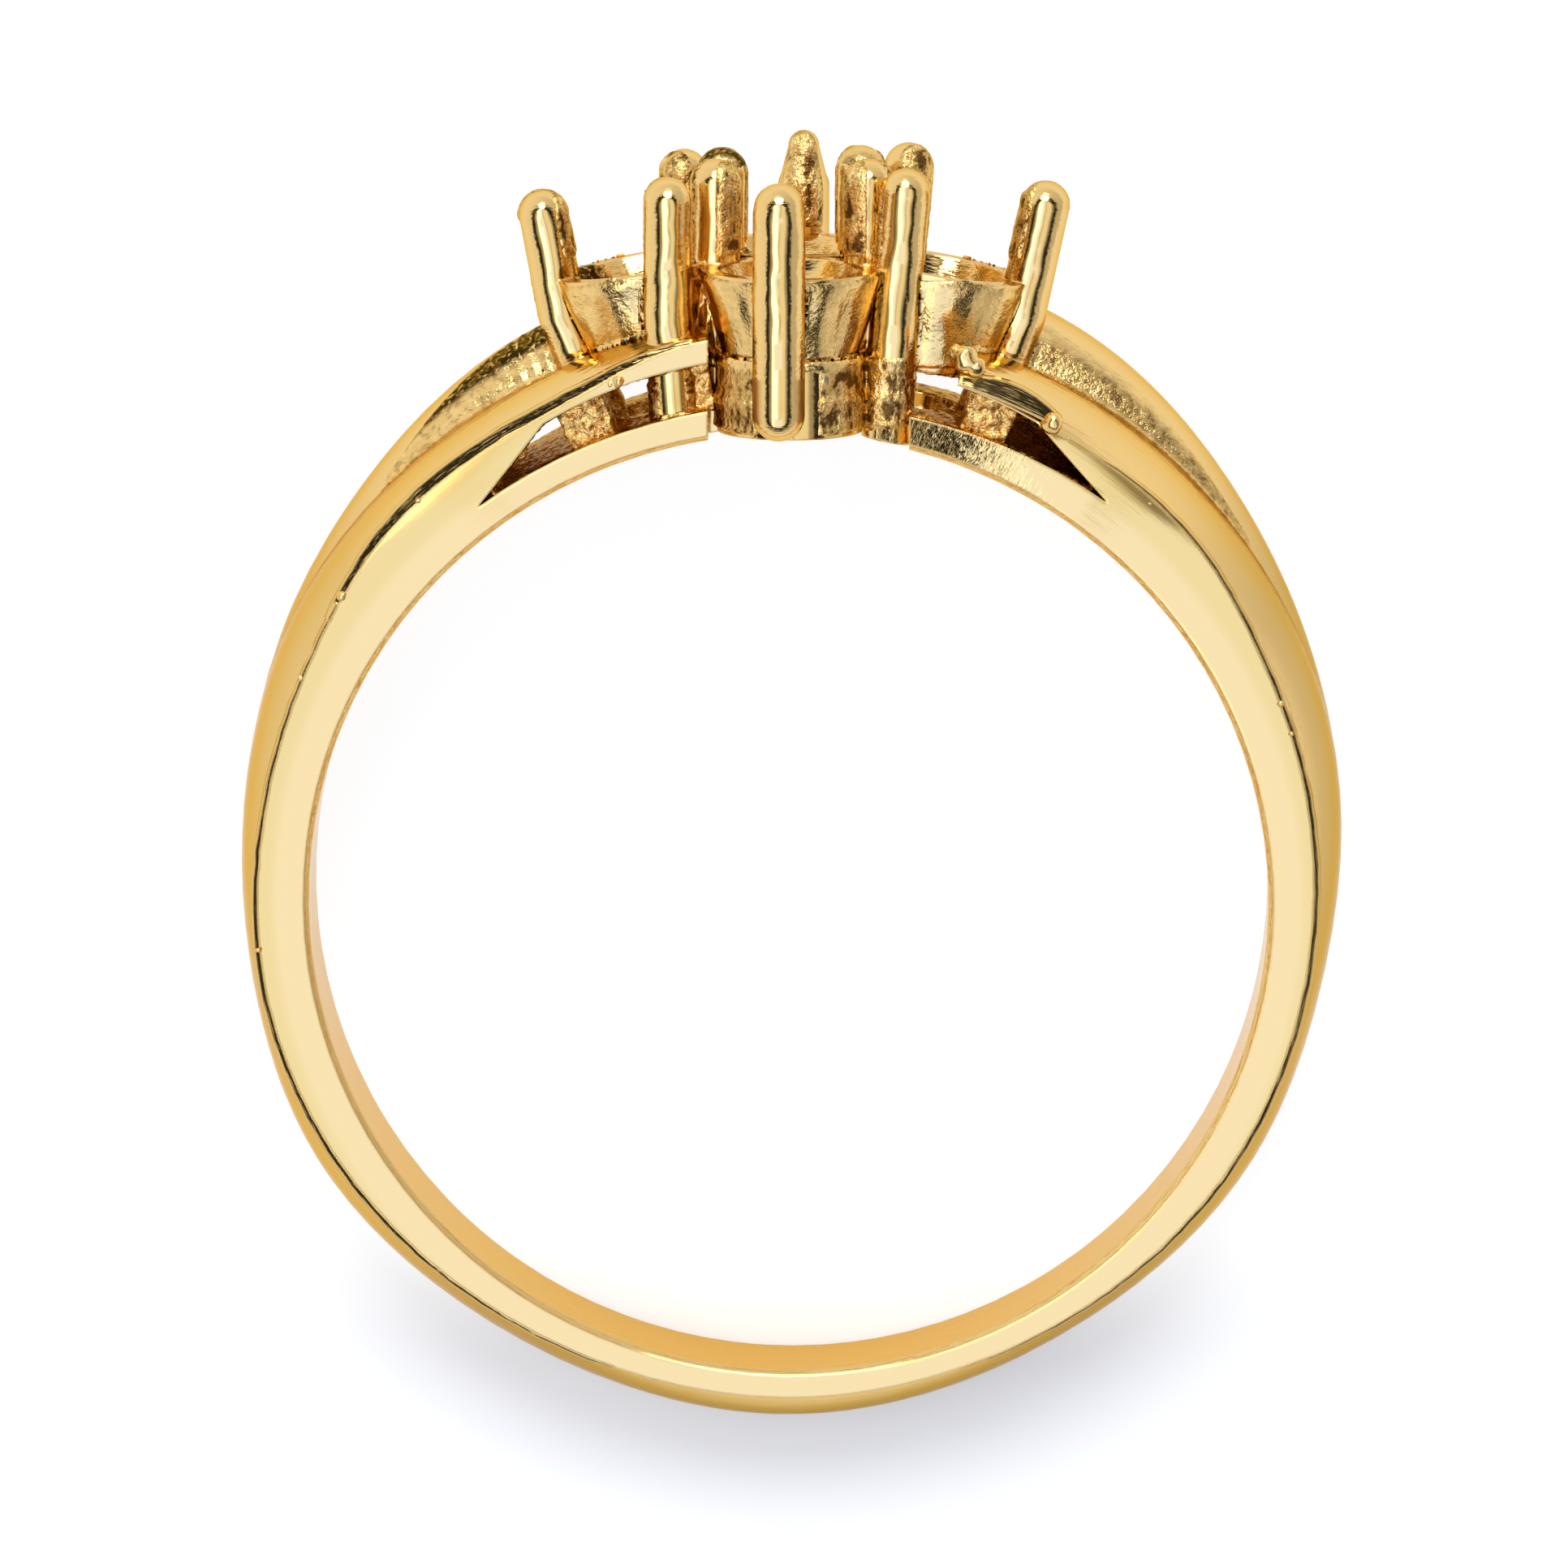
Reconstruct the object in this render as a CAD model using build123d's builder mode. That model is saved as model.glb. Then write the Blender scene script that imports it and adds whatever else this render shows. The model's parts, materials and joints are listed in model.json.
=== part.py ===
"""Semi mount ring setting: one gold casting for four round stones, lying on its side.

The casting is drawn with the finger hole along Z, its front towards +Z and its head towards +Y,
and is then tipped to the pose in which it rests on a table. Lengths are in millimetres.
"""

from build123d import *
from math import asin, atan2, cos, degrees, hypot, radians, sin
import os

# Finger hole
finger_radius = 8.65
finger_edge_bevel = 0.10

# Shank, measured at its bottom and at the head
shank_width_bottom = 2.36
shank_width_head = 4.3
shank_thickness_bottom = 1.04
shank_thickness_head = 2.80

# Slot through the shoulders, below the rails
slot_tip_angle = 37.5
slot_tip_height_right = 0.72
slot_tip_height_left = 0.52
slot_floor_height = 0.55
slot_roof_height = 1.42
slot_shoulder_angle = 26.5
slot_shoulder_height_right = 1.28
slot_shoulder_height_left = 1.20

# Rails that pass the seats, on the front and the back of the head
long_rail_end = 1.45
short_rail_end = 3.05
rail_gap_width = 1.25
rail_gap_half_length = 3.7

# Gallery under the seats
gallery_plate_width = 2.4
gallery_space_end = 2.15
gallery_ring_radius = 1.30
gallery_hole_radius = 1.05

# Seats
seat_spacing_across = 5.36
seat_spacing_along = 3.10
seat_rim_height = 2.92
outer_seat_drop = 0.15
outer_seat_lean = 10.0
cup_rim_radius = 1.60
cup_base_radius = 1.15
end_cup_height = 1.55
right_cup_height = 1.80
left_cup_height = 1.60
cup_lip = 0.30
cup_bore_radius = 0.85
cup_bore_length = 0.55

# Prongs
prong_radius = 0.44
end_prong_radius = 0.47
front_point_length = 0.10
front_point_radius = 0.45
back_point_length = 0.75
back_point_radius = 0.28
prong_circle_radius = 1.60
prong_height = 1.88
end_prong_foot_height = 0.03
front_prong_turn = 6.0
back_prong_turn = 5.0
knee_depth = 0.70

# Working allowances
overcut = 0.35
reach = 20.0

# Sections of the shank, from the right side of the head round the bottom to the left side. The angle
# is from the head, in degrees. The width is a share of the way from the bottom width to the head
# width. The heights above the finger hole are shares of shank_thickness_head, except that the
# bottom's are shares of shank_thickness_bottom: the side's top edge, the front band's crest, the
# groove's floor and the back band's crest.
bottom_side_share = 0.480
shank_sections = (
    # angle, width, side, front crest, groove floor, back crest
    (8, 1.00, 0.500, 0.690, 0.550, 1.000),
    (20, 0.97, 0.486, 0.685, 0.620, 1.000),
    (33, 0.90, 0.457, 0.654, 0.670, 0.930),
    (47, 0.76, 0.446, 0.600, 0.643, 0.775),
    (60, 0.58, 0.364, 0.554, 0.607, 0.643),
    (75, 0.38, 0.321, 0.500, 0.550, 0.507),
    (100, 0.20, 0.279, 0.364, 0.404, 0.364),
    (120, 0.12, 0.250, 0.350, 0.393, 0.350),
    (145, 0.06, 0.186, 0.286, 0.332, 0.286),
    (180, 0.00, bottom_side_share, 0.865, 1.000, 0.865),
    (215, 0.03, 0.207, 0.307, 0.375, 0.307),
    (240, 0.12, 0.286, 0.411, 0.457, 0.411),
    (260, 0.20, 0.332, 0.411, 0.439, 0.411),
    (285, 0.38, 0.332, 0.471, 0.514, 0.479),
    (300, 0.58, 0.375, 0.536, 0.586, 0.600),
    (313, 0.76, 0.446, 0.579, 0.607, 0.704),
    (327, 0.90, 0.464, 0.614, 0.614, 0.829),
    (340, 0.97, 0.521, 0.671, 0.571, 0.893),
    (352, 1.00, 0.640, 0.700, 0.550, 0.893),
)


def between(low, high, share):
    """The length that lies this share of the way from low to high."""
    return low + share * (high - low)


def at_angle(radius, angle):
    """A point of the plane Z = 0 at this distance from the finger's axis and angle from the head."""
    return (radius * sin(radians(angle)), radius * cos(radians(angle)))


def radial_plane(angle):
    """The half plane at this angle from the head: its x axis points outwards, its y axis to the front."""
    outward = Vector(*at_angle(1, angle), 0)
    return Plane(origin=(0, 0, 0), x_dir=outward, z_dir=outward.cross(Vector(0, 0, 1)))


def shank_section(angle, width_share, side_share, front_share, floor_share, back_share):
    """One closed section of the shank, with flat sides and an outer face of two domed bands."""
    half_width = between(shank_width_bottom, shank_width_head, width_share) / 2
    thickness = shank_thickness_bottom if angle == 180 else shank_thickness_head
    side_top = finger_radius + side_share * thickness
    front_crest = finger_radius + front_share * thickness
    floor = finger_radius + floor_share * thickness
    back_crest = finger_radius + back_share * thickness
    inner = finger_radius - overcut
    bevel_top = finger_radius + finger_edge_bevel
    bevel_run = bevel_top - inner
    with BuildSketch(radial_plane(angle)) as section:
        with BuildLine():
            Line((inner, bevel_run - half_width), (inner, half_width - bevel_run))
            Line((inner, half_width - bevel_run), (bevel_top, half_width))
            Line((bevel_top, half_width), (side_top, half_width))
            ThreePointArc((side_top, half_width), (front_crest, half_width / 2), (floor, 0))
            ThreePointArc((floor, 0), (back_crest, -half_width / 2), (side_top, -half_width))
            Line((side_top, -half_width), (bevel_top, -half_width))
            Line((bevel_top, -half_width), (inner, bevel_run - half_width))
        make_face()
    return section.sketch


# Shank, lofted from one side of the head round the bottom to the other side
with BuildPart() as shank:
    loft([shank_section(*row) for row in shank_sections])

# Slot through both shoulders and under the rails
right_tip = at_angle(finger_radius + slot_tip_height_right, slot_tip_angle)
left_tip = at_angle(finger_radius + slot_tip_height_left, -slot_tip_angle)
right_shoulder = at_angle(finger_radius + slot_shoulder_height_right, slot_shoulder_angle)
left_shoulder = at_angle(finger_radius + slot_shoulder_height_left, -slot_shoulder_angle)
slot_floor = (0, finger_radius + slot_floor_height)
slot_roof = (0, finger_radius + slot_roof_height)
with BuildPart() as slot:
    with BuildSketch(Plane.XY):
        with BuildLine():
            ThreePointArc(left_tip, slot_floor, right_tip)
            Line(right_tip, right_shoulder)
            ThreePointArc(right_shoulder, slot_roof, left_shoulder)
            Line(left_shoulder, left_tip)
        make_face()
    extrude(amount=reach, both=True)

# Space above the slot: the rails end at it, and between them it takes the seats
half_gap = rail_gap_width / 2
with BuildPart() as seat_space:
    with BuildSketch(Plane.XZ.offset(-slot_floor[1])):
        with BuildLine():
            Polyline(
                (-long_rail_end, reach),
                (short_rail_end, reach),
                (short_rail_end, half_gap),
                (rail_gap_half_length, half_gap),
                (rail_gap_half_length, -half_gap),
                (long_rail_end, -half_gap),
                (long_rail_end, -reach),
                (-short_rail_end, -reach),
                (-short_rail_end, -half_gap),
                (-rail_gap_half_length, -half_gap),
                (-rail_gap_half_length, half_gap),
                (-long_rail_end, half_gap),
                close=True,
            )
        make_face()
    extrude(amount=-reach)

# Space before and behind the gallery plate, where only its rings stand out
half_plate = gallery_plate_width / 2
front_side = Plane(origin=(0, 0, half_plate), x_dir=(1, 0, 0), z_dir=(0, 0, 1))
back_side = Plane(origin=(0, 0, -half_plate), x_dir=(-1, 0, 0), z_dir=(0, 0, -1))
with BuildPart() as gallery_space:
    for side in (front_side, back_side):
        with BuildSketch(side):
            with BuildLine():
                Polyline(
                    (-long_rail_end, 0),
                    (gallery_space_end, 0),
                    (gallery_space_end, reach),
                    (-long_rail_end, reach),
                    close=True,
                )
            make_face()
        extrude(amount=reach)

# Seat planes at the cups' rims: z along the seat's axis, x towards its outermost prong
rim_level = finger_radius + seat_rim_height
front_seat = Plane(origin=(0, rim_level, seat_spacing_along / 2), x_dir=(0, 0, 1), z_dir=(0, 1, 0))
back_seat = Plane(origin=(0, rim_level, -seat_spacing_along / 2), x_dir=(0, 0, -1), z_dir=(0, 1, 0))
lean_out, lean_up = at_angle(1, outer_seat_lean)
right_seat = Plane(
    origin=(seat_spacing_across / 2, rim_level - outer_seat_drop, 0),
    x_dir=(lean_up, -lean_out, 0),
    z_dir=(lean_out, lean_up, 0),
)
left_seat = Plane(
    origin=(-seat_spacing_across / 2, rim_level - outer_seat_drop, 0),
    x_dir=(-lean_up, -lean_out, 0),
    z_dir=(-lean_out, lean_up, 0),
)
end_seats = (front_seat, back_seat)
seats = (front_seat, back_seat, right_seat, left_seat)


def axial_plane(seat):
    """The plane through a seat's axis: its x axis points to the outermost prong, its y axis up the seat."""
    return Plane(origin=seat.origin, x_dir=seat.x_dir, z_dir=-seat.y_dir)


# Gallery: a plate between the rails with a ring below each seat, as thick as the slot leaves it. The
# rings of the front and the back seat go on up to their cups.
with BuildPart() as gallery:
    with BuildSketch(Plane.XY.offset(-half_plate)):
        Circle(slot_floor[1])
    extrude(amount=gallery_plate_width)
    with BuildSketch(Plane.XZ):
        Rectangle(2 * gallery_space_end, gallery_plate_width)
    extrude(amount=-reach, mode=Mode.INTERSECT)
    for seat in seats:
        with BuildSketch(seat.offset(-seat_rim_height)):
            Circle(gallery_ring_radius)
        extrude(amount=slot_roof_height)
    with BuildSketch(Plane.XY.offset(-reach)):
        Circle(slot_floor[1])
    extrude(amount=2 * reach, mode=Mode.INTERSECT)
    for seat in end_seats:
        with BuildSketch(seat.offset(-seat_rim_height)):
            Circle(gallery_ring_radius)
        extrude(amount=seat_rim_height - end_cup_height)


def seat_solid(seat, profile):
    """Turns a closed profile of radii and levels from the rim round the seat's axis."""
    with BuildSketch(axial_plane(seat)) as half:
        with BuildLine():
            Polyline(*profile, close=True)
        make_face()
    revolve(half.sketch, axis=Axis(seat.origin, seat.z_dir))


def add_cup(seat, height):
    """Adds a cup without its hollow."""
    seat_solid(seat, ((0, 0), (cup_rim_radius, 0), (cup_base_radius, -height), (0, -height)))


def add_hollow(seat, height):
    """Adds a cup's hollow: a cone for the stone with the bore below it."""
    seat_solid(
        seat,
        (
            (0, 0),
            (cup_rim_radius - cup_lip, 0),
            (cup_bore_radius, cup_bore_length - height),
            (cup_bore_radius, -height),
            (0, -height),
        ),
    )


# Cups, and the hollows that are cut out of them
with BuildPart() as cups:
    for seat in end_seats:
        add_cup(seat, end_cup_height)
    add_cup(right_seat, right_cup_height)
    add_cup(left_seat, left_cup_height)
with BuildPart() as hollows:
    for seat in end_seats:
        add_hollow(seat, end_cup_height)
    add_hollow(right_seat, right_cup_height)
    add_hollow(left_seat, left_cup_height)


def prong_point(seat, direction):
    """Where a prong's centre line passes the rim, this many degrees round from the outermost prong."""
    across, out = at_angle(prong_circle_radius, direction)
    return seat.from_local_coords(Vector(out, across, 0))


def leaning(angle):
    """The direction up the head, leaning to the right by this angle in degrees."""
    return Vector(*at_angle(1, angle), 0)


def add_wire(points, radius):
    """Adds a round wire along straight runs, with a ball at each point after the first."""
    for start, end in zip(points, points[1:]):
        with BuildSketch(Plane(origin=start, z_dir=end - start)) as disc:
            Circle(radius)
        extrude(disc.sketch, amount=(end - start).length)
        with Locations(end):
            Sphere(radius)


def add_prong(seat, direction, top_lean, foot_lean, height_share):
    """Adds a prong that leans to the right by one angle above its knee and by another below it."""
    rim = prong_point(seat, direction)
    tip = rim + leaning(top_lean) * (height_share * prong_height - prong_radius)
    knee = rim - leaning(top_lean) * knee_depth
    foot_run = (knee.Y - finger_radius + 3 * overcut) / cos(radians(foot_lean))
    foot = knee - leaning(foot_lean) * foot_run
    add_wire((foot, knee, tip), prong_radius)


def add_end_prong(seat, turn, height_share, point_length, point_radius):
    """Adds the outermost prong of the front or the back seat, with a round foot and a narrowed point."""
    rim = prong_point(seat, -turn)
    foot = Vector(rim.X, finger_radius + end_prong_foot_height + end_prong_radius, rim.Z)
    point_end = rim + Vector(0, height_share * prong_height - point_radius, 0)
    point_start = point_end - Vector(0, point_length, 0)
    with Locations(foot):
        Sphere(end_prong_radius)
    add_wire((foot, point_start), end_prong_radius)
    with Locations(point_end):
        Sphere(point_radius)
    with Locations(Plane(origin=(point_start + point_end) / 2, z_dir=(0, 1, 0))):
        Cone(end_prong_radius, point_radius, point_length)


# Prongs: three round each seat
with BuildPart() as prongs:
    add_end_prong(front_seat, front_prong_turn, 0.93, front_point_length, front_point_radius)
    add_end_prong(back_seat, back_prong_turn, 1.00, back_point_length, back_point_radius)
    # seat, direction, lean, lean of the foot, share of the height
    add_prong(front_seat, -122, 0, 0, 0.99)
    add_prong(front_seat, 120, 0, 0, 1.00)
    add_prong(back_seat, -130, 0, 0, 1.04)
    add_prong(back_seat, 127, 0, 0, 1.00)
    add_prong(right_seat, 0, 12.0, 22, 0.99)
    add_prong(right_seat, -118, 5, 4, 0.97)
    add_prong(right_seat, 118, 5, 4, 1.02)
    add_prong(left_seat, 0, -10.8, -22, 0.87)
    add_prong(left_seat, 108, 0, -4, 0.90)
    add_prong(left_seat, -120, -4, -4, 0.94)

# The casting
with BuildPart() as casting:
    add(shank.part)
    add(slot.part, mode=Mode.SUBTRACT)
    add(seat_space.part, mode=Mode.SUBTRACT)
    add(gallery_space.part, mode=Mode.SUBTRACT)
    add(gallery.part)
    for seat in seats:
        with BuildSketch(seat.offset(-seat_rim_height - overcut)):
            Circle(gallery_hole_radius)
        extrude(amount=seat_rim_height - end_cup_height + overcut, mode=Mode.SUBTRACT)
    add(cups.part)
    add(prongs.part)
    add(hollows.part, mode=Mode.SUBTRACT)
    with BuildSketch(Plane.XY):
        Circle(finger_radius)
    extrude(amount=reach, both=True, mode=Mode.SUBTRACT)

# Rest pose: the back prong of the head and the edge of the shank's bottom stand on the table
bottom_edge = finger_radius + bottom_side_share * shank_thickness_bottom
span = bottom_edge + finger_radius + end_prong_foot_height + end_prong_radius
step = seat_spacing_along / 2 + prong_circle_radius * cos(radians(back_prong_turn)) - shank_width_bottom / 2
rest_tilt = degrees(atan2(step, span) + asin(end_prong_radius / hypot(step, span)))
tilted = casting.part.rotate(Axis.X, rest_tilt)
box = tilted.bounding_box()
with BuildPart() as ring_mounting:
    add(tilted.translate((-box.center().X, -box.center().Y, -box.min.Z)))

os.makedirs("parts", exist_ok=True)
ring_mounting.part.label = "ring_mounting"
export_step(ring_mounting.part, "parts/ring_mounting.step")
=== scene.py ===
"""Looks of the semi mount ring setting: polished and as-cast yellow gold on a pale floor."""

import json
import math

import bmesh
import bpy
import numpy as np
from mathutils import Matrix, Vector, noise
from mathutils.bvhtree import BVHTree


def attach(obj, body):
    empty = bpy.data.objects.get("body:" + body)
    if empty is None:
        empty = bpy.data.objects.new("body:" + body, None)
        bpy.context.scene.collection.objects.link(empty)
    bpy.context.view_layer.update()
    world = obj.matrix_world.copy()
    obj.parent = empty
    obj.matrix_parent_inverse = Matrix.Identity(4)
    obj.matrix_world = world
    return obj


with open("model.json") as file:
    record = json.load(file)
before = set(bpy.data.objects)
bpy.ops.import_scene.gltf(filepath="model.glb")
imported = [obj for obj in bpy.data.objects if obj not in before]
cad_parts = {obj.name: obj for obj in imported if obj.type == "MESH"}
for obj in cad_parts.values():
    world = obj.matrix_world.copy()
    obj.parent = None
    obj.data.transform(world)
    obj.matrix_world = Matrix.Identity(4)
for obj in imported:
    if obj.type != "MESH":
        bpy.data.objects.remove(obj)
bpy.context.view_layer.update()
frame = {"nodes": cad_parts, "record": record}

ring = frame["nodes"]["ring_mounting"]
hole = frame["record"]["mounts"][0]
hole_centre = Vector(hole["pos_m"])
hole_axis = Vector(hole["axis"]).normalized()

# Directions of the ring as the photograph shows it: right, up to the head, and out of the hole's front.
# Sizes below are in millimetres in these directions, from the hole's middle, and angles are from the head
ring_right = Vector((1, 0, 0))
ring_front = hole_axis if hole_axis.z > 0 else -hole_axis
ring_up = ring_front.cross(ring_right)
rest_tilt = math.atan2(-ring_front.y, ring_front.z)

# Slots through the shoulders: radii between which they lie, and the angle just past their tips, in degrees
slot_low = 9.20
slot_high = 10.10
slot_tip = 38.0

# Height at which the sides end and the head's prongs and cups begin
head_foot = 9.9

# Gallery's front wall, which is left as cast: its heights, its ends, and its foremost place
gallery_low = 8.72
gallery_high = 10.0
gallery_left = -1.36
gallery_right = 2.1
gallery_front = 2.76

# Ends of the groove between the bands on the left and on the right, as angles in degrees
groove_end_left = 48.0
groove_end_right = 56.0

# Seats: x and z of the axis at the rim, the rim's height and the lean to the right
seats = (
    (0.0, 1.55, 11.57, 0.0),
    (0.0, -1.55, 11.57, 0.0),
    (2.68, 0.0, 11.42, 0.176),
    (-2.68, 0.0, 11.42, -0.176),
)


def ring_point(x, y, z):
    """The place of a point that is given in millimetres in the ring's own directions."""
    return hole_centre + (ring_right * x + ring_up * y + ring_front * z) * 0.001


def polar_point(turn, radius, front):
    """The point at this angle from the head in degrees, this radius and this height to the front."""
    around = math.radians(turn)
    return Vector((radius * math.sin(around), radius * math.cos(around), front))


def new_object(name, data):
    """A new object in the scene."""
    thing = bpy.data.objects.new(name, data)
    bpy.context.scene.collection.objects.link(thing)
    return thing


# Camera: its scale, its distance and angles from the hole's middle, and the pixel where that middle falls
photo_size = 1932
pixels_per_mm = 68.06
camera_distance = 300.0
camera_azimuth = math.radians(1.2)
camera_elevation = math.radians(10.2)
camera_roll = math.radians(-0.2)
hole_pixel = (973.7, 1096.0)

camera_place = ring_point(
    camera_distance * math.sin(camera_azimuth) * math.cos(camera_elevation),
    camera_distance * math.sin(camera_elevation),
    camera_distance * math.cos(camera_azimuth) * math.cos(camera_elevation),
)
to_camera = (camera_place - hole_centre).normalized()


def add_camera():
    """The photograph's camera, turned so that the hole's middle falls on its pixel."""
    focal_pixels = pixels_per_mm * camera_distance
    data = bpy.data.cameras.new("camera")
    data.sensor_width = 36.0
    data.lens = focal_pixels * data.sensor_width / photo_size
    data.clip_start = 0.01
    data.clip_end = 10.0
    right = ring_up.cross(to_camera).normalized()
    up = to_camera.cross(right)
    look = Matrix((right, up, to_camera)).transposed().to_4x4()
    turn_x = math.atan2(hole_pixel[1] - photo_size / 2, focal_pixels)
    turn_y = math.atan2(hole_pixel[0] - photo_size / 2, focal_pixels)
    aim = Matrix.Rotation(turn_x, 4, "X") @ Matrix.Rotation(turn_y, 4, "Y")
    aim = aim @ Matrix.Rotation(-camera_roll, 4, "Z")
    camera = new_object("camera", data)
    camera.matrix_world = Matrix.Translation(camera_place) @ look @ aim
    bpy.context.scene.camera = camera
    bpy.context.scene.view_settings.view_transform = "Standard"


class Graph:
    """Shader nodes, written as short calls.

    An input is a number, a colour, a vector or another node's output.
    """

    def __init__(self, tree):
        self.tree = tree

    def feed(self, socket, value):
        """Link a node's output to the socket, or set the socket's own value."""
        if isinstance(value, bpy.types.NodeSocket):
            self.tree.links.new(value, socket)
        else:
            socket.default_value = value

    def add(self, kind, inputs=(), **settings):
        """A new node, with its inputs by their names or numbers."""
        node = self.tree.nodes.new("ShaderNode" + kind)
        for name, value in settings.items():
            setattr(node, name, value)
        for key, value in dict(inputs).items():
            self.feed(node.inputs[key], value)
        return node

    def math(self, operation, first, second=0.0, third=0.0):
        node = self.add("Math", {0: first, 1: second, 2: third}, operation=operation)
        return node.outputs[0]

    def product(self, *values):
        result = values[0]
        for value in values[1:]:
            result = self.math("MULTIPLY", result, value)
        return result

    def vector(self, operation, first, second):
        return self.add("VectorMath", {0: first, 1: second}, operation=operation).outputs[0]

    def object_place(self):
        return self.add("TexCoord").outputs["Object"]

    def millimetres(self, place):
        """A place in metres, written in millimetres."""
        return self.add("VectorMath", {0: place, "Scale": 1000.0}, operation="SCALE").outputs[0]

    def turned(self, vector, angle):
        """The vector turned about the X axis, by an angle in radians."""
        node = self.add("VectorRotate", {"Vector": vector, "Angle": angle}, rotation_type="X_AXIS")
        return node.outputs[0]

    def axes(self, vector):
        """The vector's x, y and z."""
        return self.add("SeparateXYZ", {0: vector}).outputs[:]

    def combined(self, x, y, z):
        return self.add("CombineXYZ", {0: x, 1: y, 2: z}).outputs[0]

    def attribute(self, name):
        return self.add("Attribute", attribute_name=name).outputs["Fac"]

    def ramp(self, value, low, high):
        """0 at low and 1 at high, with soft ends. Low may be the larger one."""
        node = self.add("MapRange", {0: value, 1: low, 2: high}, interpolation_type="SMOOTHSTEP")
        return node.outputs[0]

    def band(self, value, low, high, soft):
        """1 between low and high, 0 outside, with soft edges."""
        return self.product(
            self.ramp(value, low - soft, low + soft),
            self.ramp(value, high + soft, high - soft),
        )

    def blend(self, share, first, second):
        """A colour between two, by a share from 0 to 1."""
        node = self.add("Mix", {0: share, 6: first, 7: second}, data_type="RGBA")
        return node.outputs[2]

    def between(self, share, first, second):
        """A number between two, by a share from 0 to 1."""
        return self.add("Mix", {0: share, 2: first, 3: second}, data_type="FLOAT").outputs[0]

    def noise(self, place, scale, detail, rough=0.5):
        inputs = {"Vector": place, "Scale": scale, "Detail": detail, "Roughness": rough}
        return self.add("TexNoise", inputs).outputs[0]

    def bump(self, height, strength, distance, normal=None):
        """The normal of a surface raised by height times distance, which is in metres."""
        inputs = {"Strength": strength, "Distance": distance, "Height": height}
        if normal is not None:
            inputs["Normal"] = normal
        return self.add("Bump", inputs).outputs[0]


def new_material(name):
    material = bpy.data.materials.new(name)
    material.use_nodes = True
    return material, Graph(material.node_tree), material.node_tree.nodes["Principled BSDF"]


# Colours of the metal, and of the painted shade and highlight on it. Edge gold is what it mirrors at a
# grazing angle
clean_gold = (0.80, 0.55, 0.215, 1)
# Painted shade near the flat sides' outer edge
edge_shade_gold = (0.74, 0.50, 0.16, 1)
# Painted shade on the domes
dome_shade_gold = (0.58, 0.40, 0.16, 1)
edge_gold = (0.86, 0.64, 0.32, 1)
# Painted highlight on the tops of the cast grain
highlight_gold = (0.90, 0.64, 0.28, 1)
cast_gold = (0.72, 0.46, 0.15, 1)
# Painted shade inside the slots
deep_shade_gold = (0.40, 0.17, 0.035, 1)
# Painted shade in the low spots of the cast grain
dark_shade_gold = (0.13, 0.065, 0.018, 1)
# Painted shade in pits, which are not cut into the mesh
pit_shade_black = (0.03, 0.018, 0.008, 1)


class RingPlace:
    """Where a shaded point is on the ring, in millimetres and degrees, and which way its surface looks."""

    def __init__(self, graph):
        place = graph.vector("SUBTRACT", graph.object_place(), hole_centre)
        self.place = graph.millimetres(graph.turned(place, -rest_tilt))
        self.x, self.y, self.z = graph.axes(self.place)
        squares = graph.math("ADD", graph.product(self.x, self.x), graph.product(self.y, self.y))
        self.radius = graph.math("SQRT", squares)
        angle = graph.math("ARCTAN2", self.x, self.y)
        self.turn = graph.math("ABSOLUTE", graph.math("DEGREES", angle))
        # The place on the band as if it were rolled out flat, so that streaks run along it
        band_radius = 10.0
        self.rolled_out = graph.combined(graph.product(angle, band_radius), self.radius, self.z)
        normal = graph.add("NewGeometry").outputs["Normal"]
        facing = graph.add("VectorMath", {0: normal, 1: ring_front}, operation="DOT_PRODUCT").outputs["Value"]
        self.facing = graph.math("ABSOLUTE", facing)
        self.flat_side = graph.ramp(self.facing, 0.90, 0.97)


def gold_colour(graph, at, in_slot):
    """Browner near the sides' outer edge, darker on the dome, and deep inside the slots, all as painted
    shade.
    """
    # Painted shade: the flat side is browner towards its outer edge
    outer_edge_shade = graph.product(at.flat_side, graph.ramp(at.radius, 9.15, 9.45), graph.ramp(at.y, 9.6, 9.2))
    # Painted shade: the dome is darker than the flat sides
    dome = graph.product(
        graph.ramp(at.facing, 0.78, 0.50),
        graph.ramp(at.turn, slot_tip, slot_tip + 22.0),
        graph.ramp(at.radius, 9.10, 9.25),
    )
    # The dome's painted shade is darkest on the right
    left_share, right_share = 0.40, 1.0
    dome = graph.product(dome, graph.between(graph.ramp(at.x, -9.0, 1.0), left_share, right_share))
    colour = graph.blend(graph.product(outer_edge_shade, 0.8), clean_gold, edge_shade_gold)
    colour = graph.blend(dome, colour, dome_shade_gold)
    # Painted shade inside the slots
    return graph.blend(graph.product(in_slot, 0.8), colour, deep_shade_gold)


def gold_roughness(graph, at, in_slot, streaks):
    """Mirror polish on the sides, satin on the domes, and dull inside the slots."""
    side_polish = 0.045
    satin_low, satin_high = 0.04, 0.12
    slot_dull = 0.30
    polished = graph.between(at.flat_side, graph.between(streaks, satin_low, satin_high), side_polish)
    return graph.between(in_slot, polished, slot_dull)


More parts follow.
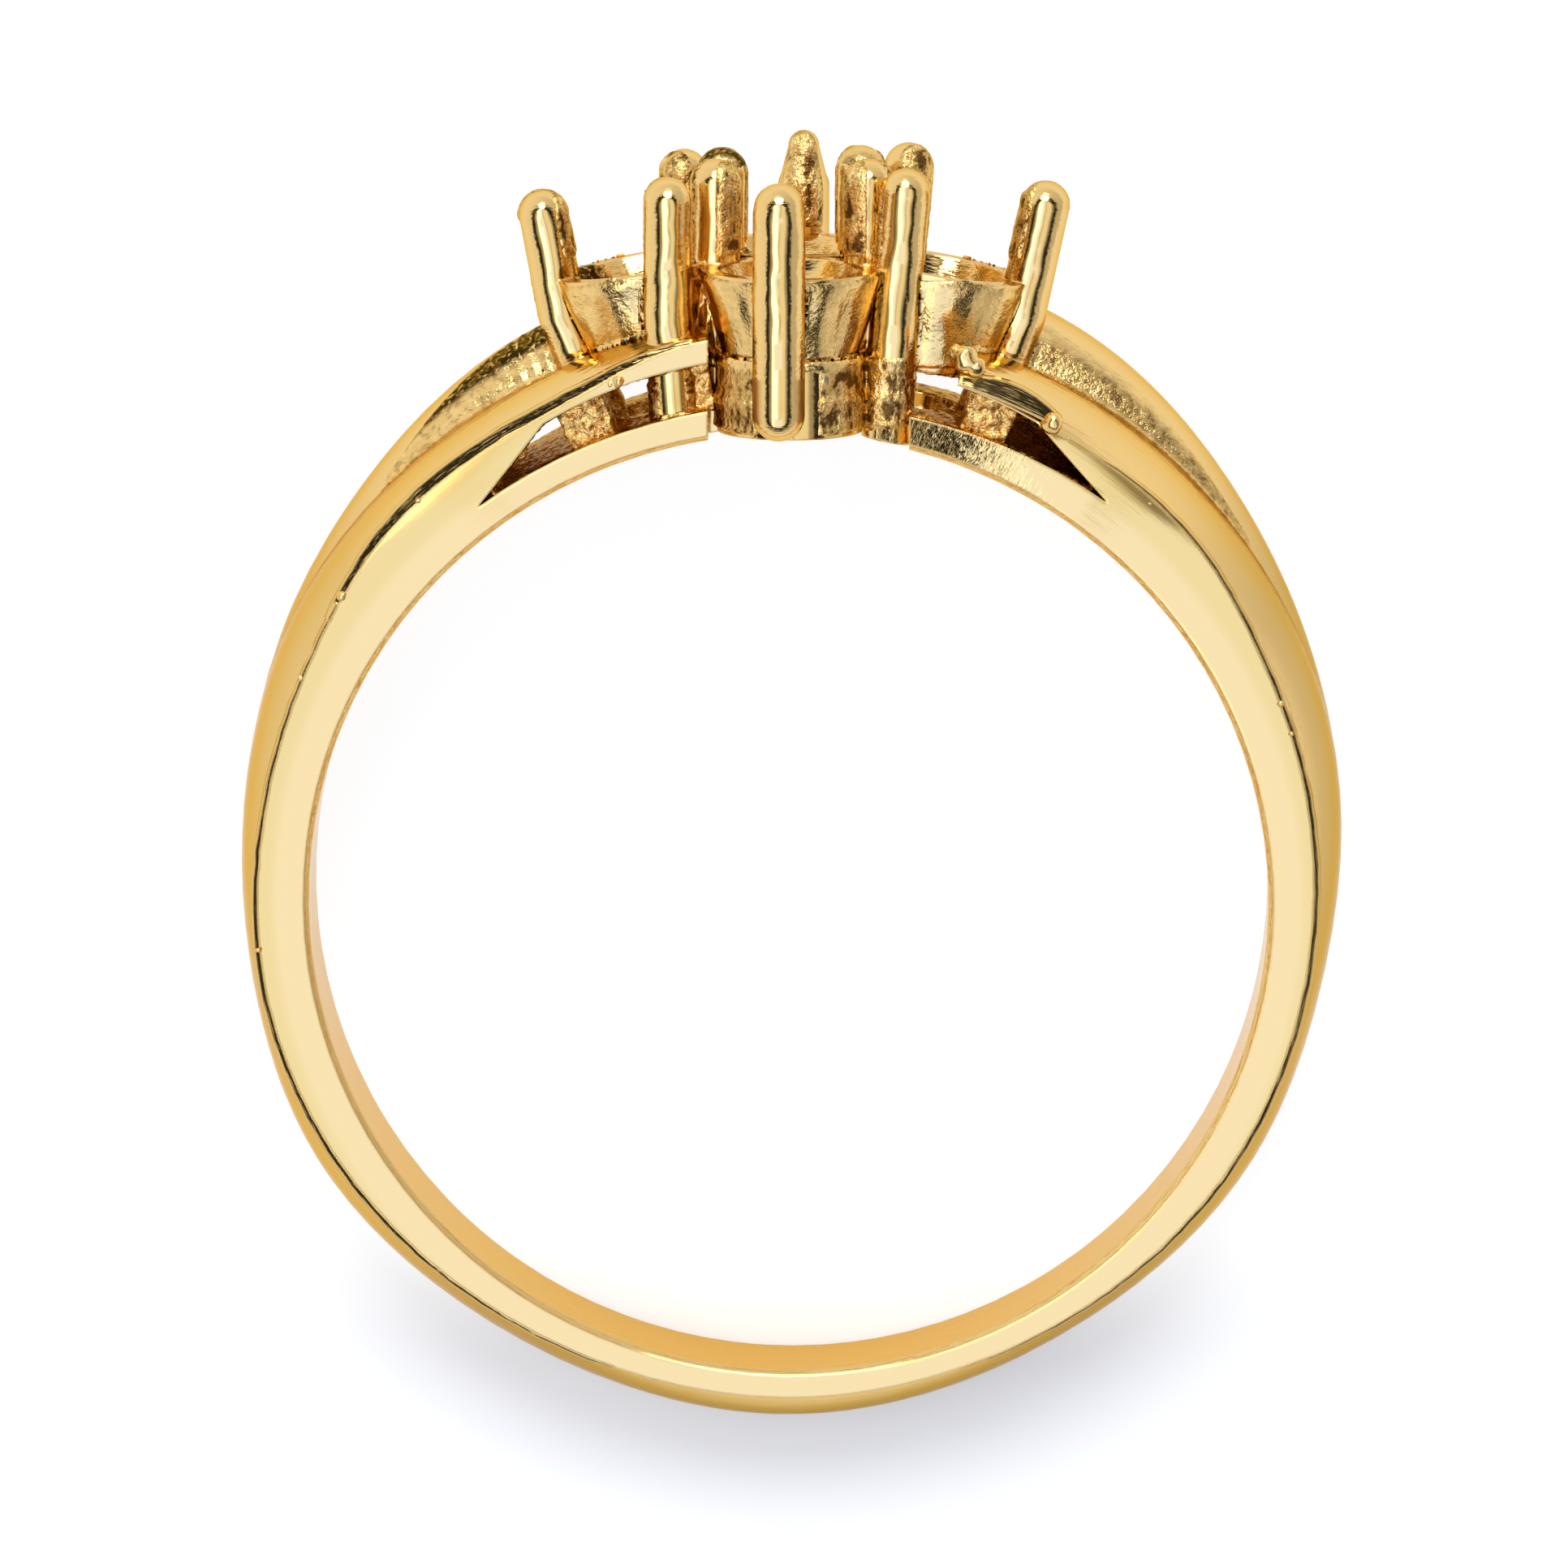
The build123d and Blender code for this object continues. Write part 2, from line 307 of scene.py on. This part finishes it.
def gold_relief(graph, at, streaks):
    """Rounded edges, crowned sides, a filed face, fine scratches and the head's waver."""
    millimetre = 0.001
    edge_round = 0.00007
    relief = graph.add("Bevel", {"Radius": edge_round}, samples=6).outputs[0]
    # The sides are polished slightly round and roll off at their outer edge, further out near the head
    side_edge = graph.math("MULTIPLY_ADD", graph.ramp(at.turn, 150.0, 85.0), 0.42, 9.15)
    side_edge = graph.math("MULTIPLY_ADD", graph.ramp(at.turn, 75.0, 40.0), 0.35, side_edge)
    inset = graph.math("SUBTRACT", side_edge, at.radius)
    crown_width = 0.30
    crown_fall = -0.05
    crown_run = graph.math("MAXIMUM", graph.math("SUBTRACT", crown_width, inset), 0.0)
    crown = graph.product(crown_run, crown_run, crown_fall)
    band_side = graph.product(at.flat_side, graph.ramp(at.y, head_foot, head_foot - 0.5))
    relief = graph.bump(graph.product(crown, band_side), 1.0, millimetre, relief)
    # The lower band's face below the right slot is filed aslant, most of all near the head
    lower_face = graph.product(
        graph.ramp(at.x, 0.5, 0.8),
        graph.ramp(at.z, 1.0, 1.4),
        at.flat_side,
        graph.ramp(at.turn, slot_tip - 1.0, slot_tip - 22.0),
        graph.ramp(at.radius, slot_low + 0.3, slot_low + 0.2),
    )
    filed_slope = 0.42
    file_depth = 0.05
    file_marks = graph.noise(graph.vector("MULTIPLY", at.rolled_out, (7.0, 1.2, 1.0)), 1.5, 3.0, 0.65)
    file_marks = graph.product(file_marks, file_depth)
    filed = graph.math("MULTIPLY_ADD", graph.math("SUBTRACT", at.radius, 9.0), filed_slope, file_marks)
    relief = graph.bump(graph.product(filed, lower_face), 1.0, millimetre, relief)
    scratches = graph.product(streaks, graph.between(at.flat_side, 1.0, 0.05))
    scratch_depth = 0.00002
    relief = graph.bump(scratches, 0.5, scratch_depth, relief)
    # The head is hand-polished, so its highlights waver
    waver = graph.product(graph.noise(at.place, 1.3, 1.0), graph.ramp(at.y, head_foot, head_foot + 0.7))
    waver_depth = 0.00007
    return graph.bump(waver, 1.0, waver_depth, relief)


def gold_material():
    """Polished gold, whose finish follows the place on the ring."""
    material, graph, shader = new_material("gold")
    at = RingPlace(graph)
    # The slots' inside, which gets painted shade and a dull finish
    in_slot = graph.product(
        graph.band(at.radius, slot_low - 0.15, slot_high - 0.26, 0.04),
        graph.ramp(at.turn, slot_tip + 2.0, slot_tip),
        graph.ramp(at.facing, 0.85, 0.6),
    )
    streaks = graph.noise(graph.vector("MULTIPLY", at.rolled_out, (0.35, 6.0, 6.0)), 2.0, 3.0, 0.6)
    shader.inputs["Metallic"].default_value = 1.0
    shader.inputs["Specular Tint"].default_value = edge_gold
    graph.feed(shader.inputs["Base Color"], gold_colour(graph, at, in_slot))
    graph.feed(shader.inputs["Roughness"], gold_roughness(graph, at, in_slot, streaks))
    graph.feed(shader.inputs["Normal"], gold_relief(graph, at, streaks))
    return material


def cast_material():
    """Gold as cast: its grain, hollows, black pits and rubbed spots come from its meshes' attributes, with
    painted shade in the grain's low spots, the hollows and the pits, and painted highlight on the grain's
    tops.
    """
    material, graph, shader = new_material("gold_as_cast")
    height = graph.attribute("height")
    inside = graph.attribute("inside")
    pits = graph.attribute("pits")
    polish = graph.attribute("polish")
    speckle = graph.noise(graph.millimetres(graph.object_place()), 11.0, 3.0, 0.6)
    grain = graph.math("ADD", graph.product(height, 0.6), graph.product(speckle, 0.4))
    # Painted shade in the grain's low spots and painted highlight on its tops
    colour = graph.blend(graph.ramp(grain, 0.34, 0.50), dark_shade_gold, cast_gold)
    colour = graph.blend(graph.ramp(grain, 0.52, 0.66), colour, highlight_gold)
    # Painted shade inside the slots, darkest in the grain's low spots
    hollow = graph.blend(graph.ramp(grain, 0.36, 0.62), deep_shade_gold, cast_gold)
    hollow = graph.blend(graph.ramp(grain, 0.30, 0.42), dark_shade_gold, hollow)
    colour = graph.blend(inside, colour, hollow)
    colour = graph.blend(polish, colour, clean_gold)
    speckle_depth = 0.00008
    speckle_height = graph.product(speckle, graph.between(polish, 1.0, 0.1))
    shader.inputs["Metallic"].default_value = 1.0
    shader.inputs["Specular Tint"].default_value = edge_gold
    # The pits are painted black as shade
    graph.feed(shader.inputs["Base Color"], graph.blend(pits, colour, pit_shade_black))
    graph.feed(shader.inputs["Roughness"], graph.between(speckle, 0.06, 0.20))
    graph.feed(shader.inputs["Normal"], graph.bump(speckle_height, 0.6, speckle_depth))
    return material


def add_piece(name, mesh, material):
    """A piece of the ring from a mesh drawn in the ring's own directions, in millimetres."""
    ring_axes = Matrix((ring_right, ring_up, ring_front)).transposed().to_4x4()
    mesh.transform(Matrix.Translation(hole_centre) @ ring_axes @ Matrix.Scale(0.001, 4))
    mesh.shade_smooth()
    mesh.materials.append(material)
    piece = new_object(name, mesh)
    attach(piece, "root")
    return piece


def add_bmesh_piece(name, bm, material):
    """A piece from an edit mesh, with its faces turned outwards."""
    bmesh.ops.recalc_face_normals(bm, faces=bm.faces)
    mesh = bpy.data.meshes.new(name)
    bm.to_mesh(mesh)
    bm.free()
    return add_piece(name, mesh, material)


def smooth(value, low, high):
    """0 at low and 1 at high, with soft ends. Low may be the larger one."""
    share = np.clip((value - low) / (high - low), 0, 1)
    return share * share * (3 - 2 * share)


def window(value, low, high, soft):
    """1 between low and high, 0 outside, with soft edges."""
    return smooth(value, low - soft, low + soft) * smooth(value, high + soft, high - soft)


def lumps(points, size, seed):
    """Smooth noise from -1 to 1, with lumps of about this size in millimetres."""
    scaled = (points + seed) / size
    return np.array([noise.noise(Vector(point)) for point in scaled])


def seat_zones(points, normals):
    """The prongs' inner faces above the rims and the cups' outsides below them, from 0 to 1."""
    x, y, z = points.T
    prongs = np.zeros(len(points))
    cups = np.zeros(len(points))
    for seat_x, seat_z, rim, lean in seats:
        off_x = x - seat_x - lean * (y - rim)
        off_z = z - seat_z
        gap = np.hypot(off_x, off_z)
        inward = -(normals[:, 0] * off_x + normals[:, 2] * off_z) / np.maximum(gap, 0.01)
        prong = smooth(gap, 1.72, 1.60) * smooth(y, rim + 0.05, rim + 0.25) * smooth(inward, 0.15, 0.45)
        prongs = np.maximum(prongs, prong)
        cup = smooth(gap, 1.62, 1.56) * window(y, rim - 1.7, rim - 0.05, 0.04) * smooth(inward, -0.3, -0.5)
        cups = np.maximum(cups, cup)
    return prongs, cups


def cast_zones(points, normals):
    """How far each point belongs to each of the zones left as cast, from 0 to 1."""
    x, y, z = points.T
    radius = np.hypot(x, y)
    turn = np.degrees(np.arctan2(x, y))
    outward = (normals[:, 0] * x + normals[:, 1] * y) / radius
    prongs, cups = seat_zones(points, normals)
    groove_end = np.where(turn > 0, groove_end_right, groove_end_left)
    # The groove's as-cast floor is wide at the head and narrows towards its end
    fade = smooth(np.abs(turn), groove_end, groove_end - 25.0) * np.where(turn > 0, 0.4, 1.0)
    groove = smooth(z, -0.15 - 0.95 * fade, -0.05 - 0.85 * fade) * smooth(z, 0.12 + 0.02 * fade, 0.02)
    groove *= smooth(np.abs(turn), groove_end, groove_end - 6.0) * smooth(radius, 9.95, 10.05)
    groove *= smooth(outward, 0.1, 0.3) * smooth(normals[:, 2], -0.45, -0.15)
    slots = window(radius, slot_low - 0.06, slot_high + 0.1, 0.03)
    slots *= smooth(np.abs(turn), slot_tip + 0.5, slot_tip - 0.5)
    slots *= smooth(np.abs(normals[:, 2]), 0.93, 0.8) * smooth(np.abs(z), 2.05, 1.95)
    slots *= 1 - smooth(radius, 9.80, 9.88) * smooth(outward, -0.35, -0.15)
    gallery = window(y, gallery_low, gallery_high, 0.06) * window(x, gallery_left, gallery_right, 0.03)
    gallery *= smooth(z, 1.05, 1.2) * smooth(np.abs(normals[:, 1]), 0.8, 0.6)
    gallery *= smooth(z, gallery_front, gallery_front - 0.06)
    slots *= 1 - gallery
    return {"prongs": prongs, "cups": cups, "groove": groove, "slots": slots, "gallery": gallery}


def cast_relief(points, prongs, cups, groove, slots, gallery):
    """The skin's height over the metal, and its grain, its pits that are painted black as shade, and polish,
    at each point.
    """
    x, y, z = points.T
    turn = np.degrees(np.arctan2(x, y))
    on_left = turn < 0
    # Grain, drawn out along the prongs and the gallery's wall, and hatched inside the slots
    drawn = points * (1 - 0.55 * np.maximum(prongs, gallery)[:, None] * np.array([0.0, 1.0, 0.0]))
    coarse = lumps(drawn, 0.16, 3.7)
    fine = lumps(drawn, 0.07, 9.1)
    hatch = lumps(points * np.array([1.0, 1.0, 0.15]), 0.06, 5.3)
    waves = lumps(points * np.array([1.0, 0.5, 1.0]), 0.50, 1.9)
    rough = 0.5 + 0.5 * coarse + 0.35 * fine + 0.4 * hatch * slots
    # Ribs across the groove under the left cup, one for each 1.5 degrees
    ribs = np.sin(np.radians((turn + 28.0) * 240.0)) * window(turn, -28.5, -21.5, 0.6) * groove
    grain = 0.035 * rough * (1 - 0.95 * cups) + 0.045 * (1 + waves) * cups
    height = 0.012 + grain + 0.030 * ribs
    # Lower rim of the gallery, with two sunk panels
    rim = gallery * smooth(y, 9.40, 9.34)
    panels = window(x, -1.38, -0.68, 0.03) + window(x, 0.30, 0.86, 0.03)
    panels *= window(y, 8.80, 9.16, 0.03)
    height += 0.05 * rim * (1 - panels)
    # Pits painted black as shade: a dense strip on the left back band, a sparse one in the right crease, and
    # a few elsewhere
    strip = np.where(on_left, window(z, -0.95, -0.30, 0.08), 0.4 * window(z, -0.25, 0.0, 0.08)) * groove
    strip_pits = strip * smooth(fine + 0.5 * coarse, -0.24, -0.14)
    pits = np.minimum(strip_pits + 0.6 * (prongs + gallery) * smooth(fine, 0.34, 0.42), 1)
    # The groove is partly polished, apart from its pitted strip, and its grain is lower
    rubbed = groove * np.where(on_left, 0.6, 0.9) * (1 - np.minimum(strip * 2, 1))
    polish = np.maximum(0.85 * cups, rubbed)
    calm = groove * np.where(on_left, 0.35, 0.75)
    return height * (1 - calm), rough, pits, polish


def remeshed_ring():
    """The ring's surface as an even grid of small quads, in the ring's own directions, in millimetres."""
    to_ring = Matrix((ring_right, ring_up, ring_front)).to_4x4() @ Matrix.Translation(-hole_centre)
    grid = new_object("grid", ring.data.copy())
    grid.data.transform(Matrix.Scale(1000.0, 4) @ to_ring)
    remesh = grid.modifiers.new("remesh", "REMESH")
    remesh.mode = "VOXEL"
    remesh.voxel_size = 0.055
    dense = bpy.data.meshes.new_from_object(grid.evaluated_get(bpy.context.evaluated_depsgraph_get()))
    bpy.data.objects.remove(grid)
    return dense


def add_cast_skin(material):
    """A thin skin over the places that the polishing wheel didn't reach, raised by the casting's grain."""
    dense = remeshed_ring()
    count = len(dense.vertices)
    points = np.empty(3 * count)
    normals = np.empty(3 * count)
    corners = np.empty(len(dense.loops), dtype=int)
    dense.vertices.foreach_get("co", points)
    dense.vertices.foreach_get("normal", normals)
    dense.loops.foreach_get("vertex_index", corners)
    bpy.data.meshes.remove(dense)
    points, normals, corners = points.reshape(-1, 3), normals.reshape(-1, 3), corners.reshape(-1, 4)

    zones = cast_zones(points, normals)
    share = np.maximum.reduce(list(zones.values()))
    least_share = 0.02
    kept = share > least_share
    kept_zones = {name: zone[kept] for name, zone in zones.items()}
    height, rough, pits, polish = np.zeros((4, count))
    height[kept], rough[kept], pits[kept], polish[kept] = cast_relief(points[kept], **kept_zones)
    # The skin's borders dip below the metal
    border_depth = 0.03
    points += normals * (share * height - (1 - share) * border_depth)[:, None]

    corners = corners[kept[corners].all(1)]
    used = np.unique(corners)
    number = np.full(count, -1)
    number[used] = np.arange(len(used))
    mesh = bpy.data.meshes.new("as_cast_skin")
    mesh.from_pydata(points[used].tolist(), [], number[corners].tolist())
    # In the cast gold these give painted shade in the grain's low spots, inside the slots and in the pits,
    # and painted highlight on the grain's tops
    attributes = {"height": rough, "inside": zones["slots"], "pits": pits, "polish": polish}
    for attribute, values in attributes.items():
        mesh.attributes.new(attribute, "FLOAT", "POINT").data.foreach_set("value", values[used])
    add_piece("as_cast_skin", mesh, material)


# Lumps that the casting left: angle from the head, radius, height to the front, and size
casting_lumps = (
    (27.9, 10.05, 2.05, 0.20),
    (17.4, 10.52, 2.03, 0.24),
    (18.6, 10.44, 2.08, 0.18),
    (16.5, 10.56, 1.95, 0.17),
    (41.0, 9.86, 1.90, 0.09),
    (67.0, 9.60, 1.62, 0.07),
    (70.5, 9.58, 1.60, 0.05),
    (-95.5, 9.60, 1.45, 0.05),
    (-65.0, 9.68, 1.62, 0.06),
    (-55.0, 9.80, 1.78, 0.09),
    (-42.0, 9.93, 1.95, 0.05),
    (-17.6, 10.06, 2.08, 0.12),
    (-18.6, 10.06, 2.05, 0.09),
)


def add_casting_lumps(material):
    """Small uneven lumps on the bands' faces."""
    unevenness = 0.30
    bm = bmesh.new()
    for turn, radius, front, size in casting_lumps:
        centre = polar_point(turn, radius, front)
        for vert in bmesh.ops.create_icosphere(bm, subdivisions=3, radius=size)["verts"]:
            swell = 1 + unevenness * noise.noise((vert.co + centre) / (0.9 * size))
            vert.co = centre + vert.co * swell
    add_bmesh_piece("casting_lumps", bm, material)


# Narrow strips along the outer edge of the band's flat front side, whose slant mirrors the dark. Each has the
# angles that it runs from and to, its width at the middle, and the edge's radius and height to the front
# where no flat side carries it
edge_strips = (
    (-58.0, -9.5, 0.20, None),
    (-160.0, -56.0, 0.11, None),
    (30.0, 160.0, 0.10, None),
    (17.5, 28.5, 0.34, (10.04, 2.13)),
)
strip_slope = math.tan(math.radians(24))
strip_step = 1.5


def side_edge_at(surface, turn):
    """Radius and height to the front of the flat side's outer edge at this angle from the head."""
    shoulder_end = 35
    lowest = 1.95 if abs(turn) < shoulder_end else 1.05
    above = 3.5
    outermost = 10.65
    probes = 90
    probe_step = 0.02
    for step in range(probes):
        radius = outermost - probe_step * step
        start = ring_point(*polar_point(turn, radius, above))
        hit, normal = surface.ray_cast(start, -ring_front)[:2]
        if hit is None:
            continue
        front = (hit - hole_centre).dot(ring_front) * 1000
        if normal.dot(ring_front) > 0.97 and front > lowest:
            return radius, front
    return None


def strip_section(radius, front, reach):
    """Corners of a strip's section, as radius and height to the front, from an edge outwards by reach."""
    drop = strip_slope * reach
    return (
        (radius - 0.03, front - 0.05),
        (radius - 0.02, front + 0.004),
        (radius + reach, front - drop),
        (radius + reach + 0.03, front - drop - 0.10),
        (radius + reach - 0.10, front - drop - 0.30),
    )


def add_edge_strips(material):
    """The strips, each a closed tube of five sides that is widest at its middle."""
    surface = BVHTree.FromPolygons(
        [vert.co for vert in ring.data.vertices],
        [face.vertices for face in ring.data.polygons],
    )
    bm = bmesh.new()
    for turn_low, turn_high, width, given_edge in edge_strips:
        steps = round((turn_high - turn_low) / strip_step)
        rows = []
        for step in range(steps + 1):
            turn = turn_low + (turn_high - turn_low) * step / steps
            edge = given_edge or side_edge_at(surface, turn)
            if edge is None:
                continue
            reach = width * (0.25 + 0.75 * math.sin(math.pi * (0.1 + 0.8 * step / steps)))
            section = strip_section(*edge, reach)
            rows.append([bm.verts.new(polar_point(turn, radius, front)) for radius, front in section])
        for row, following in zip(rows, rows[1:]):
            for corner in range(len(row)):
                last = corner - 1
                bm.faces.new((row[last], row[corner], following[corner], following[last]))
        bm.faces.new(rows[0])
        bm.faces.new(rows[-1])
    strips = add_bmesh_piece("edge_strips", bm, material)
    strips.data.shade_flat()


# Webs of rough metal left in the slots: angles from and to, radii from and to, and heights to the front
slot_webs = (
    (-25.0, -19.8, 9.12, 10.15, 0.70, 1.90),
    (-31.2, -30.0, 9.45, 9.95, 0.90, 1.90),
    (-36.8, -34.6, 9.15, 9.60, -1.80, 1.40),
    (-13.6, -8.4, 9.10, 10.20, 0.60, 1.75),
    (19.2, 24.4, 9.12, 10.15, 0.70, 1.90),
    (24.0, 36.8, 9.15, 10.00, -1.90, -1.60),
)


def add_slot_webs(material):
    """The webs, each a block that is finely divided and roughened."""
    largest_side = 0.07
    lump_size = 0.16
    lump_height = 0.05
    # Vector noise differs from run to run unless it is seeded
    noise.seed_set(1)
    bm = bmesh.new()
    for turn_low, turn_high, low, high, back_end, front_end in slot_webs:
        cube = bmesh.ops.create_cube(bm, size=1.0)["verts"]
        edges = list(dict.fromkeys(edge for vert in cube for edge in vert.link_edges))
        longest = max(front_end - back_end, high - low, math.radians(turn_high - turn_low) * high)
        bmesh.ops.subdivide_edges(bm, edges=edges, cuts=int(longest / largest_side), use_grid_fill=True)
        # The tag marks the points of the blocks that are done
        for vert in [vert for vert in bm.verts if not vert.tag]:
            vert.tag = True
            share = vert.co + Vector((0.5, 0.5, 0.5))
            vert.co = polar_point(
                turn_low + (turn_high - turn_low) * share.x,
                low + (high - low) * share.y,
                back_end + (front_end - back_end) * share.z,
            )
            vert.co += lump_height * noise.noise_vector(vert.co / lump_size)
    webs = add_bmesh_piece("slot_webs", bm, material).data
    grain_size = 0.0001
    # The grain also sets the cast gold's painted shade and highlight
    grain = [0.5 + 0.6 * noise.noise(vert.co / grain_size) for vert in webs.vertices]
    webs.attributes.new("height", "FLOAT", "POINT").data.foreach_set("value", grain)
    # The webs lie inside the slots, so they get the slots' painted shade
    webs.attributes.new("inside", "FLOAT", "POINT").data.foreach_set("value", [1.0] * len(grain))


def add_floor():
    """A pale light table, whose glow fades past the shank's bottom so that a soft shadow stays there."""
    half = 2.0
    corners = [(-half, -half, 0), (half, -half, 0), (half, half, 0), (-half, half, 0)]
    mesh = bpy.data.meshes.new("floor")
    mesh.from_pydata(corners, [], [(0, 1, 2, 3)])
    floor = new_object("floor", mesh)
    floor.location.z = -0.00002
    pale, graph, shader = new_material("floor")
    # The glow is none below the first of these places, in metres, and full above the second
    dark_below, glow_above = -0.0110, -0.0080
    glow = graph.ramp(graph.axes(graph.object_place())[1], dark_below, glow_above)
    lit_grey = (0.74, 0.74, 0.74, 1)
    glowing_grey = (0.18, 0.18, 0.18, 1)
    graph.feed(shader.inputs["Base Color"], graph.blend(glow, lit_grey, glowing_grey))
    shader.inputs["Roughness"].default_value = 0.9
    shader.inputs["Specular IOR Level"].default_value = 0.0
    shader.inputs["Emission Color"].default_value = (1, 1, 1, 1)
    graph.feed(shader.inputs["Emission Strength"], graph.between(glow, 0.15, 0.87))
    mesh.materials.append(pale)


# Panels of the light tent: left edge, right edge and soft edge in degrees, and brightness
light_panels = (
    (-26.0, -9.0, 1.5, 3.4),
    (-40.0, -28.0, 2.0, 0.50),
    (5.5, 8.5, 1.0, 0.35),
    (31.0, 40.0, 3.0, 0.45),
)
core_light = (1.19, 1.40, 2.05, 1)
tent_light = (1.08, 1.10, 1.10, 1)
room_dark = (0.03, 0.03, 0.03, 1)


def add_studio_world():
    """A soft light tent over the ring, in bands from left to right, a dark rim and a bright low part."""
    world = bpy.data.worlds.new("studio")
    world.use_nodes = True
    bpy.context.scene.world = world
    graph = Graph(world.node_tree)
    # The tent's middle is the direction that the ring's front side mirrors to the camera
    mirrored = 2 * to_camera.dot(ring_front) * ring_front - to_camera
    mirror_tilt = math.atan2(-mirrored.y, mirrored.z)
    sky = graph.add("TexCoord").outputs["Generated"]
    panel_x, panel_y, panel_z = graph.axes(graph.turned(sky, -mirror_tilt))
    across = graph.math("DEGREES", graph.math("ARCTAN2", panel_x, graph.math("MAXIMUM", panel_z, 0.01)))
    off_middle = graph.math("DEGREES", graph.math("ARCCOSINE", graph.math("MINIMUM", panel_z, 1.0)))
    light = graph.blend(graph.band(across, -7.5, 5.0, 1.5), tent_light, core_light)
    for left_edge, right_edge, soft_edge, level in light_panels:
        share = graph.band(across, left_edge, right_edge, soft_edge)
        light = graph.blend(share, light, (level, level, level, 1))
    # Lower down, where the shoulders' sides look, the middle light is wider
    core_wide = graph.product(graph.ramp(panel_y, -0.03, -0.06), graph.band(across, -19.0, 19.0, 3.0))
    light = graph.blend(core_wide, light, core_light)
    light = graph.blend(graph.ramp(off_middle, 37.0, 41.0), light, room_dark)
    # The low part is brightest on the left and dimmer to the right and the front
    sky_x, sky_y = graph.axes(sky)[:2]
    low_level = graph.math("MULTIPLY_ADD", sky_y, 0.07, 0.86)
    low_level = graph.math("MULTIPLY_ADD", sky_x, -0.19, low_level)
    low_light = graph.combined(low_level, low_level, low_level)
    light = graph.blend(graph.ramp(off_middle, 54.0, 60.0), light, low_light)
    background = world.node_tree.nodes["Background"]
    graph.feed(background.inputs["Color"], light)
    background.inputs["Strength"].default_value = 1.0


def add_lamp():
    """A large soft lamp above the head, which gives the shadow under the shank."""
    data = bpy.data.lights.new("softbox", "SUN")
    data.energy = 1.6
    data.angle = math.radians(30)
    lamp = new_object("softbox", data)
    lamp.rotation_euler = (math.radians(-38), 0, 0)


add_camera()
gold = gold_material()
cast = cast_material()
ring.data.materials.clear()
ring.data.materials.append(gold)
add_cast_skin(cast)
add_casting_lumps(gold)
add_edge_strips(gold)
add_slot_webs(cast)
add_floor()
add_studio_world()
add_lamp()
